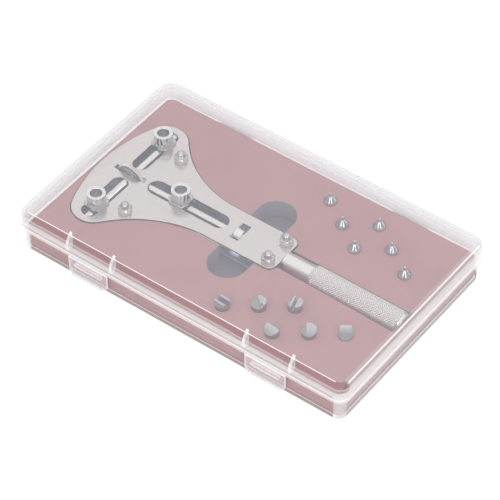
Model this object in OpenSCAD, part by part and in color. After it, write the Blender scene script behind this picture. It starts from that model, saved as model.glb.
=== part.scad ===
// Case back opener: a two-plate wrench with three screw-driven jaws, its twelve bits,
// and the hinged storage case with a foam insert that holds them.
// +X runs from the jaw end to the handle end, -Y is the latch side, +Z is up.
// The origin is the centre of the case's footprint, on the surface it stands on.

/* [Case] */
// Length of the lid over its lip
case_l = 200; // [199:0.5:206]
// Width of the lid over its lip
case_w = 123.8; // [123:0.2:128]
// Height of the closed case
case_h = 26; // [26:0.1:30]
// Wall of the case
wall = 1.2; // [1:0.1:1.4]
// Radius of the lid's upright corners
corner_r = 6; // [5:0.5:9]
// Radius of the lid's top edge
edge_r = 2.8; // [2:0.1:3.5]
// Height of the lid's lower edge
lip_z = 13.4; // [13.2:0.1:14]
// Height of the base's rim
rim_z = 15; // [14.8:0.1:15.2]
// Distance of each latch and hinge from the middle
latch_x = 54.5; // [40:0.5:60]
// Width of a latch
latch_w = 24; // [20:0.5:26]

/* [Foam] */
// Length of the foam insert
foam_l = 188.8; // [188:0.2:190]
// Width of the foam insert
foam_w = 115.4; // [114:0.2:116]
// Height of the foam's top face
foam_z = 16; // [15.8:0.1:16.2]
// Radius of the finger recess's two ends
recess_r = 10.5; // [8:0.5:12]

/* [Wrench] */
// Thickness of each of the two frame plates
plate_t = 1; // [0.8:0.1:1.2]
// Height of the top plate's upper face
plate_z = 16.6; // [16.4:0.1:16.8]
// Space between the plates
plate_gap = 5.2; // [5.2:0.1:5.4]
// Distance of the two head jaws' screw from the middle, towards the head
head_x = 76.4; // [76:0.1:77]
// Distance of each head jaw from the wrench's centre line
jaw_y = 27.4; // [12:0.2:31]
// Place of the third jaw along the wrench
jaw_x = -43.8; // [-57:0.2:-20]
// Width of the jaw slots
slot_w = 9.2; // [9.2:0.1:9.6]
// Radius of the thumb wheel
wheel_r = 8.6; // [7:0.1:8.8]
// Radius of both jaw screws
screw_r = 2.5; // [2.4:0.05:2.5]
// Radius of the bits' shanks, which the jaw sockets take
shank_r = 2.9; // [2.5:0.1:3]
// Place of the far end of the handle
handle_end = 93; // [80:0.5:93]
// Radius of the knurled handle
grip_r = 6; // [5:0.05:6]

/* [Hidden] */

$fn = 64;
over = 0.5; // how far a cutter runs past the face that it opens
fit = 0.05; // radial clearance of a running fit
seat = 0.02; // radial clearance of a part that is held fast on its shaft

// Lid and base
lip_h = 2.2;
lip_proud = 0.4;
skirt_gap = 0.6;
base_l = case_l - 2 * (wall + skirt_gap);
base_w = case_w - 2 * (wall + skirt_gap);
base_r = corner_r - wall - skirt_gap + 0.6;
lid_l = case_l - 2 * lip_proud;
lid_w = case_w - 2 * lip_proud;
lid_wall = wall + 0.4;
ledge_z = rim_z + 0.05;

// Ribs inside the lid, one on each side of a latch
rib_t = 1.4;
rib_dx = 13.7;
rib_depth = 3.9;
rib_z = foam_z + 0.3;

// Hinge at the back
hinge_r = 1.5;
hinge_pin_r = 0.8;
hinge_y = case_w / 2;
hinge_z = lip_z - 1.8;
lid_knuckle = 10;
base_knuckle = 5;
knuckle_gap = 0.3;
hinge_l = lid_knuckle + 2 * (base_knuckle + knuckle_gap);

// Latches: each hangs from a fold line on the lid's lip and clips over a catch
fold_y = -case_w / 2 - 0.2;
fold_z = lip_z - 0.1;
fold_r = 0.2;
latch_t = 1.15;
latch_top = fold_z - 0.15;
latch_low = 2.6;
latch_corner = 2.5;
latch_lip = hinge_y + hinge_r + fold_y;
catch_l = 16;
catch_z = 8.7;
catch_h = 1.2;
catch_out = 1.3;
catch_play = 0.6;

// Wrench heights
axis_z = plate_z - plate_t - plate_gap / 2;
low_z = axis_z - plate_gap / 2 - plate_t;
gap_z = low_z + plate_t;
inner_h = plate_gap - 0.1;
inner_z = axis_z - inner_h / 2;

// Outline of the plates, all of it in tangent arcs
lobe_y = 28.7;
lobe_r = 12.1;
back_r = 88.2;
flank_r = 62.5;
waist = 12.4;
tail_x = 21.8;
tail_r = 4;
back_x = -head_x + sqrt(pow(back_r - lobe_r, 2) - lobe_y * lobe_y);
flank_y = waist + flank_r;
flank_x = -head_x + sqrt(pow(flank_r + lobe_r, 2) - pow(flank_y - lobe_y, 2));

// Slots, windows and fasteners in the plates
head_slot_in = 4.4;
head_slot_out = 37;
tail_slot_in = -64;
tail_slot_out = -14.4;
wheel_slot_l = 19.5;
wheel_slot_w = 2.8;
window_x = -6.4;
window_l = 5.2;
window_w = 11.6;
head_stud = [-61.5, 23];
tail_stud = [16.5, 7.7];
STUDS = [
    [head_stud[0], head_stud[1]], [head_stud[0], -head_stud[1]],
    [tail_stud[0], tail_stud[1]], [tail_stud[0], -tail_stud[1]]
];
stud_r = 1.5;
stud_hole_r = 1.65;
stud_head_r = 2.8;
washer_t = 0.4;
washer_r = 3.6;
nut_flats = 6.6;
nut_h = 2.6;
dome_r = 2.4;

// Jaws
block_w = 13;
block_l = 11;
boss_r = slot_w / 2 - 0.1;
boss_z = plate_z + 0.2;
flange = 10.6;
flange_h = 1.3;
socket_h = 7.6;
socket_r = 5;
neck_r = 4.5;
neck_h = 2.1;
socket_bore = shank_r + fit;
socket_depth = 6.8;

// Screws and their bearings
journal_r = 1.9;
end_y = 37.4;
end_t = 2.2;
front_x = -66.8;
front_l = 2.9;
wheel_t = 2.2;
wheel_teeth = 40;
collar_l = 4.2;
collar_r = 4.5;
set_r = 1.5;
set_reach = 6.2;
set_lean = 38;

// Handle
washer_x = tail_x + 0.1;
sleeve_x = washer_x + 0.45;
sleeve_r = 5.2;
grip_x = 38.6;
cap_l = 1.4;
screw_end = 60;

// Foam, which fills the base up to just below its rim
foam_r = 2.5;
foam_gap = 0.3;
foam_drop = 0.6;
nest_grow = 0.6;
nest_gap = 0.5;
nest_z = 6.9;
recess_x = 1;
recess_y = 20.4;
recess_z = 4;

// Bits standing in the foam, each row a diagonal of two
bit_step = 14.5;
row_step = 30;
pin_x = 17;
pin_y = 44.6;
blade_x = 16.8;
blade_y = -45.5;
bit_drop = 10.1;
bit_foot = 9;
pin_head_r = 3.5;
blade_head_r = 3.8;
blade_top = 20.6;

function pin_place(i) = [
    pin_x + bit_step * floor(i / 2) + row_step * (i % 2),
    pin_y - bit_drop * floor(i / 2)
];
function blade_place(i) = [
    blade_x + bit_step * floor(i / 2) + row_step * (i % 2),
    blade_y + bit_drop * floor(i / 2)
];

// A rectangle with round corners, centred on the origin
module round_rect(l, w, r) {
    square([l - 2 * r, w], center = true);
    square([l, w - 2 * r], center = true);
    for (x = [-1, 1], y = [-1, 1])
        translate([x * (l / 2 - r), y * (w / 2 - r)]) circle(r);
}

// A slot with round ends between two places on one line
module slot_between(a, b, w) {
    translate([a + w / 2, -w / 2]) square([b - a - w, w]);
    for (x = [a + w / 2, b - w / 2]) translate([x, 0]) circle(w / 2);
}

// A slab with upright corners of radius r and a top edge rounded to e
module soft_slab(l, w, h, r, e) {
    hull() for (x = [-1, 1], y = [-1, 1])
        translate([x * (l / 2 - r), y * (w / 2 - r), 0]) {
            cylinder(r = r, h = h - e, $fn = 32);
            translate([0, 0, h - e])
                rotate_extrude($fn = 32) translate([r - e, 0]) circle(e, $fn = 32);
        }
}

// A cylinder along X, from x to x + l
module along_x(x, l, r) translate([x, 0, 0]) rotate([0, 90, 0]) cylinder(r = r, h = l);

// A cylinder along Y, from y to y + l
module along_y(y, l, r) translate([0, y, 0]) rotate([-90, 0, 0]) cylinder(r = r, h = l);

// Points along an arc about c from angle a up to, but not including, angle b
function arc(c, r, a, b, n) = [
    for (i = [0:n - 1]) c + r * [cos(a + (b - a) * i / n), sin(a + (b - a) * i / n)]
];

// The plates' outline, grown by g all round: back, lobe, flank and tail arcs on each side
module wrench_outline(g = 0) {
    back_a = 180 - atan2(lobe_y, back_x + head_x);
    flank_a = atan2(flank_y - lobe_y, flank_x + head_x);
    half = concat(
        arc([back_x, 0], back_r + g, 180, back_a, 10),
        arc([-head_x, lobe_y], lobe_r + g, back_a, flank_a, 28),
        arc([flank_x, flank_y], flank_r - g, 180 + flank_a, 270, 18),
        arc([tail_x - tail_r, waist - tail_r], tail_r + g, 90, 0, 8),
        [[tail_x + g, waist - tail_r]]
    );
    polygon(concat(half, [for (i = [len(half) - 1:-1:1]) [half[i][0], -half[i][1]]]));
}

// One frame plate with its slots, windows and fastener holes
module frame_plate() {
    linear_extrude(plate_t) difference() {
        wrench_outline();
        for (y = [-1, 1]) translate([-head_x, 0]) rotate(y * 90)
            slot_between(head_slot_in, head_slot_out, slot_w);
        slot_between(tail_slot_in, tail_slot_out, slot_w + 0.8);
        translate([-head_x, 0]) square([wheel_slot_l, wheel_slot_w], center = true);
        translate([window_x, 0]) square([window_l, window_w], center = true);
        for (p = STUDS) translate(p) circle(stud_hole_r);
    }
}

// Hinge knuckle of length l centred on x, with a web from the knuckle to a wall
module knuckle(x, l, web_y, web_w, web_z, web_h) {
    translate([x - l / 2, hinge_y, hinge_z]) along_x(0, l, hinge_r);
    translate([x - l / 2, web_y, web_z]) cube([l, web_w, web_h]);
}

module case_base() color([0.93, 0.92, 0.93, 0.5]) difference() {
    union() {
        difference() {
            linear_extrude(rim_z) round_rect(base_l, base_w, base_r);
            translate([0, 0, wall]) linear_extrude(rim_z)
                round_rect(base_l - 2 * wall, base_w - 2 * wall, base_r - wall);
        }
        for (x = [-latch_x, latch_x]) {
            translate([x - catch_l / 2, -base_w / 2 - catch_out, catch_z])
                cube([catch_l, catch_out + wall / 2, catch_h]);
            for (s = [-1, 1])
                knuckle(x + s * (lid_knuckle + base_knuckle + 2 * knuckle_gap) / 2,
                        base_knuckle, base_w / 2 - wall / 2, hinge_y - base_w / 2 + wall / 2,
                        hinge_z - hinge_r, 2 * hinge_r);
        }
    }
    for (x = [-latch_x, latch_x])
        translate([x - hinge_l / 2 - over, hinge_y, hinge_z])
            along_x(0, hinge_l + 2 * over, hinge_pin_r + seat);
}

module case_lid() color([0.95, 0.94, 0.95, 0.4]) difference() {
    union() {
        difference() {
            union() {
                translate([0, 0, lip_z])
                    soft_slab(lid_l, lid_w, case_h - lip_z, corner_r - lip_proud, edge_r);
                translate([0, 0, lip_z]) linear_extrude(lip_h)
                    round_rect(case_l, case_w, corner_r);
            }
            translate([0, 0, lip_z - over])
                soft_slab(lid_l - 2 * lid_wall, lid_w - 2 * lid_wall,
                          case_h - wall - lip_z + over, corner_r - lip_proud - lid_wall,
                          edge_r - wall);
            translate([0, 0, lip_z - over]) linear_extrude(ledge_z - lip_z + over)
                round_rect(case_l - 2 * wall, case_w - 2 * wall, corner_r - wall);
        }
        for (x = [-latch_x, latch_x], s = [-1, 1])
            translate([x + s * rib_dx - rib_t / 2, -lid_w / 2 + lid_wall / 2, rib_z])
                cube([rib_t, rib_depth, case_h - wall - rib_z + 0.2]);
        for (x = [-latch_x, latch_x])
            knuckle(x, lid_knuckle, hinge_y - 1, 1.8, hinge_z, lip_z - hinge_z + 1.2);
    }
    for (x = [-latch_x, latch_x])
        translate([x - hinge_l / 2, hinge_y, hinge_z])
            along_x(0, hinge_l, hinge_pin_r + fit);
}

module latch(x) color([0.95, 0.94, 0.95, 0.5]) {
    high = latch_top - latch_low;
    difference() {
        translate([x, fold_y + latch_t, latch_low]) rotate([90, 0, 0]) linear_extrude(latch_t)
            difference() {
                union() {
                    translate([-latch_w / 2, latch_corner])
                        square([latch_w, high - latch_corner]);
                    translate([-latch_w / 2 + latch_corner, 0])
                        square([latch_w - 2 * latch_corner, high]);
                    for (s = [-1, 1])
                        translate([s * (latch_w / 2 - latch_corner), latch_corner])
                            circle(latch_corner);
                }
                translate([-catch_l / 2 - catch_play, catch_z - latch_low - catch_play])
                    square([catch_l + 2 * catch_play, catch_h + 2 * catch_play]);
            }
    }
    translate([x - latch_w / 2, fold_y, fold_z]) along_x(0, latch_w, fold_r);
    translate([x - latch_w / 2 + latch_corner, fold_y - latch_lip, latch_low])
        cube([latch_w - 2 * latch_corner, latch_lip + latch_t / 2, 1]);
}
module latch_left() latch(-latch_x);
module latch_right() latch(latch_x);

module hinge_pins() color("silver") for (x = [-latch_x, latch_x])
    translate([x - hinge_l / 2, hinge_y, hinge_z]) along_x(0, hinge_l, hinge_pin_r);

module foam_insert() color([0.36, 0.1, 0.14]) difference() {
    union() {
        translate([0, 0, wall + fit]) linear_extrude(foam_z - wall - fit)
            round_rect(foam_l, foam_w, foam_r);
        translate([0, 0, wall + fit]) linear_extrude(rim_z - foam_drop - wall - fit)
            round_rect(base_l - 2 * (wall + foam_gap), base_w - 2 * (wall + foam_gap),
                       base_r - wall - foam_gap);
    }
    translate([0, 0, nest_z]) linear_extrude(foam_z) {
        wrench_outline(nest_grow);
        translate([tail_x - 9, -grip_r - nest_gap])
            square([handle_end + nest_gap - tail_x + 9, 2 * (grip_r + nest_gap)]);
    }
    translate([recess_x, 0, recess_z]) linear_extrude(foam_z) {
        square([2 * recess_r, 2 * recess_y], center = true);
        for (y = [-recess_y, recess_y]) translate([0, y]) circle(recess_r);
    }
    translate([-head_x, 0, axis_z - wheel_r - 0.6]) linear_extrude(foam_z)
        square([2 * wheel_r + 1.6, wheel_t + 2], center = true);
    translate([window_x, 0, axis_z - set_reach - 0.7]) linear_extrude(foam_z)
        square([window_l + 2, 2 * set_reach + 2], center = true);
    for (i = [0:5]) {
        translate([pin_place(i)[0], pin_place(i)[1], bit_foot - 0.3])
            cylinder(r = shank_r + 0.15, h = foam_z);
        translate([blade_place(i)[0], blade_place(i)[1], bit_foot - 0.3])
            cylinder(r = shank_r + 0.15, h = foam_z);
    }
}

module top_plate() color("gainsboro") translate([0, 0, plate_z - plate_t]) frame_plate();
module bottom_plate() color("gainsboro") translate([0, 0, low_z]) frame_plate();

module plate_screws() color("silver") for (p = STUDS) translate([p[0], p[1], 0]) {
    translate([0, 0, nest_z + 0.1]) cylinder(r = stud_head_r, h = low_z - nest_z - 0.1);
    translate([0, 0, low_z]) cylinder(r = stud_r, h = plate_z + washer_t + nut_h - low_z);
}

module nut_washers() color("silver") for (p = STUDS)
    translate([p[0], p[1], plate_z]) difference() {
        cylinder(r = washer_r, h = washer_t);
        translate([0, 0, -over]) cylinder(r = stud_hole_r, h = washer_t + 2 * over);
    }

// Cap nuts: a hexagon with a domed, closed end, tapped to the end of the screw
module cap_nuts() color("whitesmoke") for (p = STUDS)
    translate([p[0], p[1], plate_z + washer_t]) difference() {
        union() {
            cylinder(r = nut_flats / sqrt(3), h = nut_h, $fn = 6);
            translate([0, 0, nut_h]) {
                cylinder(r = dome_r, h = 0.9);
                translate([0, 0, 0.9]) intersection() {
                    sphere(dome_r);
                    cylinder(r = dome_r, h = dome_r);
                }
            }
        }
        translate([0, 0, -over]) cylinder(r = stud_r + seat, h = nut_h + 2 * over);
    }

module spacer_tubes() color("silver") for (y = [-1, 1])
    translate([head_stud[0], y * head_stud[1], gap_z]) difference() {
        cylinder(r = 3, h = plate_gap);
        translate([0, 0, -over]) cylinder(r = stud_hole_r, h = plate_gap + 2 * over);
    }

// Block at the tail that carries the lead screw and spaces the plates
module tail_block() color("silver") difference() {
    translate([tail_x - 12, 1 - waist, gap_z]) cube([11.5, 2 * waist - 2, plate_gap]);
    translate([0, 0, axis_z]) along_x(tail_x - 12 - over, 12 + over, screw_r + fit);
    for (y = [-1, 1]) translate([tail_stud[0], y * tail_stud[1], gap_z - over])
        cylinder(r = stud_hole_r, h = plate_gap + 2 * over);
}

module front_bearing() color("silver") difference() {
    translate([front_x, -5, inner_z]) cube([front_l, 10, inner_h]);
    translate([0, 0, axis_z]) along_x(front_x - over, front_l + 2 * over, journal_r + fit);
}

module cross_bearings() color("silver") for (s = [-1, 1])
    difference() {
        translate([-head_x - 3.4, s > 0 ? end_y : -end_y - end_t, inner_z])
            cube([6.8, end_t, inner_h]);
        translate([-head_x, 0, axis_z])
            along_y(-end_y - end_t - over, 2 * (end_y + end_t + over), journal_r + fit);
    }

// Screw for the two head jaws: a right-hand half, a left-hand half and two journals
module cross_screw() color("lightgray") translate([-head_x, 0, axis_z]) {
    along_y(-end_y + 0.2, 2 * end_y - 0.4, screw_r);
    along_y(-end_y - end_t, 2 * (end_y + end_t), journal_r);
}

module thumb_wheel() color("gainsboro") translate([-head_x, 0, axis_z]) difference() {
    along_y(-wheel_t / 2, wheel_t, wheel_r);
    along_y(-wheel_t / 2 - over, wheel_t + 2 * over, screw_r + seat);
    for (i = [0:wheel_teeth - 1]) rotate([0, i * 360 / wheel_teeth, 0])
        translate([wheel_r, 0, 0]) rotate([90, 0, 0])
            cylinder(r = 0.32, h = wheel_t + 1, center = true, $fn = 4);
}

// Jaw block: flanges between the plates, a round boss in both slots, a tapped bore
module jaw_block() difference() {
    union() {
        translate([-block_w / 2, -block_l / 2, inner_z]) cube([block_w, block_l, inner_h]);
        translate([0, 0, low_z + 0.2]) cylinder(r = boss_r, h = boss_z - low_z - 0.2);
    }
    translate([0, 0, axis_z]) along_y(-block_l, 2 * block_l, screw_r + fit);
}

// Jaw socket that a bit's shank drops into, standing on the jaw block
module jaw_socket() translate([0, 0, boss_z]) difference() {
    union() {
        linear_extrude(flange_h) round_rect(flange, flange, 2.5);
        cylinder(r = neck_r, h = socket_h);
        translate([0, 0, flange_h + neck_h])
            cylinder(r = socket_r, h = socket_h - flange_h - neck_h);
    }
    translate([0, 0, socket_h - socket_depth]) cylinder(r = socket_bore, h = socket_h);
    translate([0, 0, socket_h - 0.35])
        cylinder(r1 = socket_bore, r2 = socket_bore + 0.4, h = 0.4);
}

module jaw_block_a() color("lightgray") translate([-head_x, jaw_y, 0]) jaw_block();
module jaw_block_b() color("lightgray") translate([-head_x, -jaw_y, 0]) jaw_block();
module jaw_block_c() color("lightgray") translate([jaw_x, 0, 0]) rotate(90) jaw_block();
module jaw_socket_a() color("whitesmoke") translate([-head_x, jaw_y, 0]) jaw_socket();
module jaw_socket_b() color("whitesmoke") translate([-head_x, -jaw_y, 0]) jaw_socket();
module jaw_socket_c() color("whitesmoke") translate([jaw_x, 0, 0]) jaw_socket();

// Lead screw for the third jaw, which runs on into the handle
module lead_screw() color("lightgray") translate([0, 0, axis_z]) {
    along_x(front_x + front_l + 0.1, screw_end - front_x - front_l, screw_r);
    along_x(front_x + 0.1, front_l + 1, journal_r);
}

module thrust_collar() color("silver") translate([window_x, 0, axis_z]) difference() {
    along_x(-collar_l / 2, collar_l, collar_r);
    along_x(-collar_l, 2 * collar_l, screw_r + seat);
    rotate([-set_lean, 0, 0]) cylinder(r = set_r + seat, h = collar_r + over);
}

// Hollow-ended set screw that holds the collar on the lead screw
module collar_screw() color("dimgray")
    translate([window_x, 0, axis_z]) rotate([-set_lean, 0, 0]) difference() {
        translate([0, 0, screw_r + 0.1]) cylinder(r = set_r, h = set_reach - screw_r - 0.1);
        translate([0, 0, set_reach - 1.4]) cylinder(r = 0.85, h = 2, $fn = 6);
    }

module thrust_washer() color("silver") translate([0, 0, axis_z]) difference() {
    along_x(washer_x, 0.4, 4.6);
    along_x(washer_x - over, 0.4 + 2 * over, screw_r + seat);
}

module handle_sleeve() color("whitesmoke") translate([0, 0, axis_z]) difference() {
    along_x(sleeve_x, grip_x - sleeve_x, sleeve_r);
    along_x(sleeve_x - over, grip_x - sleeve_x + 2 * over, screw_r + seat);
}

module handle_grip() color("gainsboro") translate([0, 0, axis_z]) difference() {
    along_x(grip_x, handle_end - cap_l - grip_x, grip_r);
    along_x(grip_x - over, screw_end + 2 * over - grip_x, screw_r + seat);
    along_x(handle_end - cap_l - 6, 6 + over, 3.5);
}

module handle_cap() color("silver") translate([0, 0, axis_z]) {
    rotate([0, 90, 0]) translate([0, 0, handle_end - cap_l])
        cylinder(r1 = grip_r - 0.15, r2 = grip_r - 0.75, h = cap_l);
    along_x(handle_end - cap_l - 5, 5.5, 3.5 - seat);
}

// Bit with a fine pin on a cone
module pin_bit(i) color("silver") translate([pin_place(i)[0], pin_place(i)[1], 0]) {
    translate([0, 0, bit_foot]) cylinder(r = shank_r, h = foam_z + 0.1 - bit_foot);
    translate([0, 0, foam_z + 0.05]) rotate_extrude() polygon([
        [0, 0], [pin_head_r, 0], [pin_head_r, 1.3], [1.3, 4.1], [0.75, 4.4], [0.75, 5.9], [0, 5.9]
    ]);
}
module pin_bit_1() pin_bit(0);
module pin_bit_2() pin_bit(1);
module pin_bit_3() pin_bit(2);
module pin_bit_4() pin_bit(3);
module pin_bit_5() pin_bit(4);
module pin_bit_6() pin_bit(5);

// Bit with a shaped head, which each child cuts away in its own frame
module blade_bit(i) color("silver") translate([blade_place(i)[0], blade_place(i)[1], 0]) {
    translate([0, 0, bit_foot]) cylinder(r = shank_r, h = foam_z + 0.1 - bit_foot);
    difference() {
        translate([0, 0, foam_z + 0.05]) cylinder(r = blade_head_r, h = blade_top - foam_z - 0.05);
        translate([0, 0, blade_top]) children();
    }
}
// A cutter that takes away everything on one side of a line, d deep
module step_cut(y, d) translate([-5, y, -d]) cube([10, 10, d + over]);
// A cutter for a slot through the middle, w wide and d deep
module slot_cut(w, d) translate([-5, -w / 2, -d]) cube([10, w, d + over]);
// A cutter that leaves a slope, which falls at angle a from a line
module slope_cut(y, a) translate([0, y, 0]) rotate([a, 0, 0]) translate([-5, -10, 0])
    cube([10, 10, 5]);

// Two narrow claws with a wide slot between them
module blade_bit_1() blade_bit(0) rotate(-3) {
    slot_cut(2.8, 2.6);
    step_cut(2.7, 1.4);
    rotate(180) step_cut(2.7, 1.4);
}
// A chisel edge that slopes on one side
module blade_bit_2() blade_bit(1) rotate(-7) {
    slope_cut(0.3, 28);
    step_cut(1.2, 2.4);
}
// A half-moon step with a square notch
module blade_bit_3() blade_bit(2) rotate(-41) {
    rotate(180) step_cut(-0.3, 1.8);
    translate([1.6, 0, -1.2]) cube([4, 1.5, 1.2 + over]);
}
// A sloping post beside a low step
module blade_bit_4() blade_bit(3) rotate(37) {
    slope_cut(0.8, 24);
    rotate(90) step_cut(1.2, 2);
}
// Two upright blades, one thin and one thick
module blade_bit_5() blade_bit(4) rotate(105) {
    slot_cut(1.7, 2.6);
    step_cut(2.1, 1.8);
}
// A square wedge
module blade_bit_6() blade_bit(5) rotate(37) {
    slope_cut(2.2, 34);
    step_cut(2.7, 2);
    for (a = [90, 270]) rotate(a) step_cut(2.9, 3.2);
}

case_base();
case_lid();
latch_left();
latch_right();
hinge_pins();
foam_insert();
top_plate();
bottom_plate();
plate_screws();
cap_nuts();
nut_washers();
spacer_tubes();
tail_block();
front_bearing();
cross_bearings();
cross_screw();
thumb_wheel();
jaw_block_a();
jaw_block_b();
jaw_block_c();
jaw_socket_a();
jaw_socket_b();
jaw_socket_c();
lead_screw();
thrust_collar();
collar_screw();
thrust_washer();
handle_sleeve();
handle_grip();
handle_cap();
pin_bit_1();
pin_bit_2();
pin_bit_3();
pin_bit_4();
pin_bit_5();
pin_bit_6();
blade_bit_1();
blade_bit_2();
blade_bit_3();
blade_bit_4();
blade_bit_5();
blade_bit_6();
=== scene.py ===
import bmesh
import bpy
import math
from mathutils import Matrix, Vector


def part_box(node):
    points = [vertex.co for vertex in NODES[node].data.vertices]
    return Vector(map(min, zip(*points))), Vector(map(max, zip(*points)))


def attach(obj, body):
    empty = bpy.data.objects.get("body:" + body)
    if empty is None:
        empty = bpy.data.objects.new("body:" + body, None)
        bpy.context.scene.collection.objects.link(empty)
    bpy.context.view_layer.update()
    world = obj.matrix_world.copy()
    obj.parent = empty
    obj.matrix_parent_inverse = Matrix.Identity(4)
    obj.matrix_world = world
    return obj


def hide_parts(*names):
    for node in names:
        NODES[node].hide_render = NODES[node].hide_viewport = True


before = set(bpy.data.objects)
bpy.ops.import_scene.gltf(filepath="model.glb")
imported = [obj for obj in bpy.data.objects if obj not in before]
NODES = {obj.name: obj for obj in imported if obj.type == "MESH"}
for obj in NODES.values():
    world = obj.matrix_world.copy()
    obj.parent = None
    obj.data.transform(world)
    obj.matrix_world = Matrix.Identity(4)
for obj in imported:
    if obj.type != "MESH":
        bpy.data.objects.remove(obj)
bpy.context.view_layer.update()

MM = 0.001
SCENE = bpy.context.scene

# ---------------------------------------------------------------- sizes and places
LID_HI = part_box("case_lid")[1]
BASE_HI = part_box("case_base")[1]
FOAM_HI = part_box("foam_insert")[1]
LATCH_BOX = {"left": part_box("latch_left"), "right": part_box("latch_right")}
GRIP_LO, GRIP_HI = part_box("handle_grip")
WHEEL_LO, WHEEL_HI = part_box("thumb_wheel")
SOCKET_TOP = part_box("jaw_socket_a")[1].z
BLADE_LOW, BLADE_HIGH = 18.2 * MM, 20.3 * MM
PLATE_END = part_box("top_plate")[1].x

# the lid's lip, and the lid's wall above it
LIP_HALF_L = LID_HI.x
LIP_HALF_W = 61.9 * MM
LIP_Z = 13.4 * MM
LIP_TOP = 15.6 * MM
LIP_PROUD = 0.4 * MM
LIP_R = 6.0 * MM
LIP_SOFT = 0.3 * MM
TOP_Z = LID_HI.z
WALL = 1.2 * MM
LID_WALL = 1.6 * MM
EDGE_R = 2.8 * MM
LEDGE_Z = 15.05 * MM
# heights where the look of the lid's wall changes, between bands of painted shade and highlight
SHADE_TOP = 17.3 * MM
PLAIN_TOP = 20.2 * MM
THIN_TOP = 21.6 * MM
LINER_TOP = 18.8 * MM

# latches, hinges and the base's tray
LATCH_X = 54.5 * MM
CLIP_OUT = -62.1 * MM
CLIP_IN = -60.95 * MM
CLIP_R = 2.5 * MM
HINGE_Y = 61.9 * MM
HINGE_Z = 11.6 * MM
KNUCKLE_R = 1.5 * MM
KNUCKLE_HOLE = 0.86 * MM
BASE_HALF_W = 60.1 * MM
BASE_R = 4.8 * MM
FOOT_LINE_Z = 2.7 * MM
FOOT_BLEND_Z = 7.2 * MM

# the nest that holds the handle in the foam
NEST_GAP = 0.5 * MM
NEST_OPEN = 3.4 * MM
NEST_START = 1.8 * MM
NEST_LEAN = 0.9 * MM
NEST_BEND = 1.6 * MM

# the wrench
GRIP_R = (GRIP_HI.z - GRIP_LO.z) / 2
AXIS_Z = (GRIP_HI.z + GRIP_LO.z) / 2
WHEEL_R = (WHEEL_HI.x - WHEEL_LO.x) / 2
WHEEL_X = (WHEEL_HI.x + WHEEL_LO.x) / 2
KNURL_DEPTH = 0.26 * MM
TOOTH_DEPTH = 0.42 * MM
BORE_R = 2.52 * MM
SCREW_R = 2.5 * MM
CORE_R = 2.12 * MM
JOURNAL_R = 1.9 * MM
PITCH = 0.8 * MM
THREAD_DEPTH = 0.36 * MM


# ---------------------------------------------------------------- node helpers
def new_material(name):
    """An empty node material with its output and shader linked."""
    m = bpy.data.materials.new(name)
    m.use_nodes = True
    nt = m.node_tree
    nt.nodes.clear()
    out = nt.nodes.new("ShaderNodeOutputMaterial")
    bsdf = nt.nodes.new("ShaderNodeBsdfPrincipled")
    nt.links.new(bsdf.outputs[0], out.inputs[0])
    return m, nt, bsdf


def coords(nt, scale):
    """Object coordinates stretched by scale, which is in cycles per metre along each axis."""
    tc = nt.nodes.new("ShaderNodeTexCoord")
    mp = nt.nodes.new("ShaderNodeMapping")
    mp.inputs["Scale"].default_value = scale
    nt.links.new(tc.outputs["Object"], mp.inputs["Vector"])
    return mp.outputs["Vector"]


def noise(nt, scale, detail=2.0, rough=0.5, distortion=0.0):
    """Noise over the object, from 0 to 1."""
    n = nt.nodes.new("ShaderNodeTexNoise")
    n.inputs["Scale"].default_value = 1.0
    n.inputs["Detail"].default_value = detail
    n.inputs["Roughness"].default_value = rough
    n.inputs["Distortion"].default_value = distortion
    nt.links.new(coords(nt, scale), n.inputs["Vector"])
    return n.outputs["Fac"]


def ramp(nt, fac, stops):
    """A colour ramp. Each stop is a place and a grey level or a colour."""
    r = nt.nodes.new("ShaderNodeValToRGB")
    el = r.color_ramp.elements
    while len(el) < len(stops):
        el.new(0.5)
    for e, (pos, col) in zip(el, stops):
        e.position = pos
        e.color = (col, col, col, 1) if isinstance(col, (int, float)) else (*col, 1)
    nt.links.new(fac, r.inputs["Fac"])
    return r.outputs["Color"]


def bump(nt, bsdf, height, strength, distance):
    """Lets height tilt the shader's normal."""
    b = nt.nodes.new("ShaderNodeBump")
    b.inputs["Strength"].default_value = strength
    b.inputs["Distance"].default_value = distance
    nt.links.new(height, b.inputs["Height"])
    nt.links.new(b.outputs["Normal"], bsdf.inputs["Normal"])


def mix_color(nt, kind, fac, a, b):
    """Blends colours a and b, in the way that kind names."""
    m = nt.nodes.new("ShaderNodeMix")
    m.data_type = "RGBA"
    m.blend_type = kind
    m.inputs["Factor"].default_value = fac
    nt.links.new(a, m.inputs["A"])
    nt.links.new(b, m.inputs["B"])
    return m.outputs["Result"]


def level_between(nt, value, low, high):
    """Maps value to 0 at low and 1 at high."""
    r = nt.nodes.new("ShaderNodeMapRange")
    r.inputs["From Min"].default_value = low
    r.inputs["From Max"].default_value = high
    nt.links.new(value, r.inputs["Value"])
    return r.outputs["Result"]


def by_height(low, high):
    """Level by height above the floor."""
    def level(nt):
        split = nt.nodes.new("ShaderNodeSeparateXYZ")
        nt.links.new(coords(nt, (1, 1, 1)), split.inputs[0])
        return level_between(nt, split.outputs["Z"], low, high)
    return level


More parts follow.
